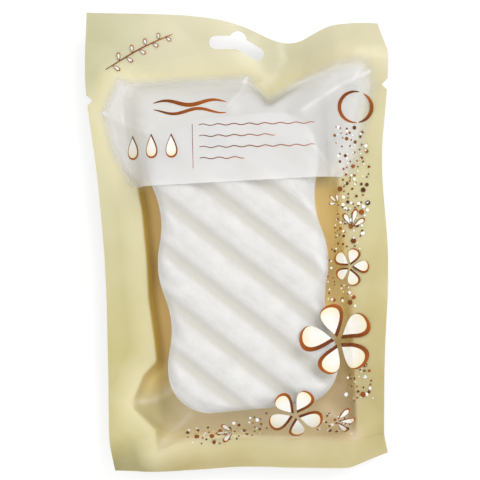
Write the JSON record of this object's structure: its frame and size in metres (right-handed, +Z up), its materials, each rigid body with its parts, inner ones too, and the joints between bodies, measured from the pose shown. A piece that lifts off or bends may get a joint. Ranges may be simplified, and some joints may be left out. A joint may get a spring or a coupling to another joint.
{
  "type": "konjac sponge in a hanging pouch",
  "caption": "White wave-cut konjac body sponge sealed in a flat film pouch with a clear window, gold back, tear-off header and euro hang hole.",
  "frame": {"origin": "on the table, under the middle of the pouch's outline", "axes": "+X across the pouch, +Y along it towards the hang hole, +Z up through the clear front"},
  "size_m": [0.138, 0.21, 0.0286],
  "materials": {
    "gold_film": "satin",
    "clear_film": "clear gloss",
    "white_print": "translucent ink",
    "weld": "fused film",
    "sponge_fibre": "fine open pores, matte"
  },
  "bodies": {
    "pouch": {"back_film": "gold_film", "front_film": "clear_film", "bottom_seal": "weld", "left_side_seal": "weld", "right_side_seal": "weld", "printed_band": "white_print"},
    "header": {"header_back_film": "gold_film", "header_front_film": "clear_film", "header_seal": "weld", "header_band": "white_print"},
    "sponge": {"sponge": "sponge_fibre"}
  },
  "joints": [
    {"name": "header_tear", "type": "slide", "parent": "pouch", "child": "header", "axis": [0, 1, 0], "range_m": [0, 0.06]},
    {"name": "sponge_shift", "type": "slide", "parent": "pouch", "child": "sponge", "axis": [0, 1, 0], "range_m": [-0.003, 0.003]}
  ]
}
